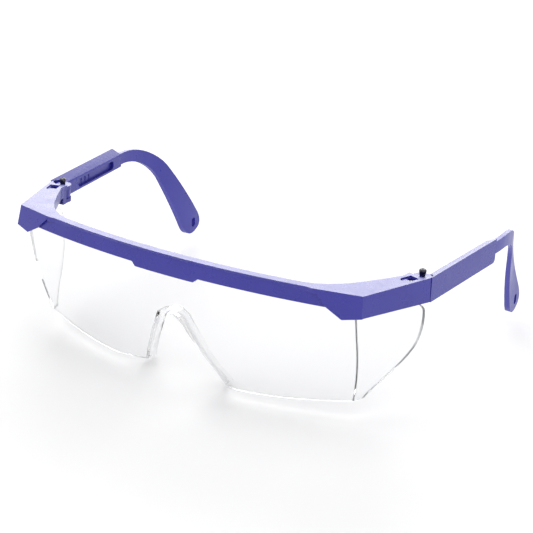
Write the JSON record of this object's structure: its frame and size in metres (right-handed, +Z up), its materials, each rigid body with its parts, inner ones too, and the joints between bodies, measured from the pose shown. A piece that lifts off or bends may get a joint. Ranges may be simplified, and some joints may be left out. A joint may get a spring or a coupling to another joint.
{
  "type": "safety glasses",
  "caption": "Clear one-piece wrap lens under a blue moulded brow frame, with hinged temples and sliding ear pieces that adjust in length.",
  "frame": {"origin": "under the middle of the overall width and depth, on the surface that the lens stands on", "axes": "+X to the right as seen from the front, -Y is the front of the lens, +Z up"},
  "size_m": [0.1844, 0.1514, 0.056],
  "materials": {
    "frame_plastic": "moulded royal blue nylon, satin gloss",
    "ear_plastic": "moulded royal blue nylon, satin gloss, slightly softer",
    "clear_lens": "clear polycarbonate, polished",
    "screw_steel": "dark plated steel"
  },
  "bodies": {
    "front": {"brow_frame": "frame_plastic", "lens": "clear_lens", "left_hinge_screw": "screw_steel", "right_hinge_screw": "screw_steel"},
    "left_temple": {"left_sleeve": "frame_plastic"},
    "right_temple": {"right_sleeve": "frame_plastic"},
    "left_ear": {"left_ear_piece": "ear_plastic"},
    "right_ear": {"right_ear_piece": "ear_plastic"}
  },
  "joints": [
    {"name": "left_fold", "type": "hinge", "parent": "front", "child": "left_temple", "pos_m": [-0.0826, -0.032, 0.0483], "axis": [0, 0, -1], "range_deg": [0, 92]},
    {"name": "right_fold", "type": "hinge", "parent": "front", "child": "right_temple", "pos_m": [0.0826, -0.032, 0.0483], "axis": [0, 0, 1], "range_deg": [0, 80]},
    {"name": "left_length", "type": "slide", "parent": "left_temple", "child": "left_ear", "axis": [-0.0985, 0.9939, 0.0488], "range_m": [0, 0.015]},
    {"name": "right_length", "type": "slide", "parent": "right_temple", "child": "right_ear", "axis": [0.0985, 0.9939, 0.0488], "range_m": [-0.006, 0.009]}
  ]
}
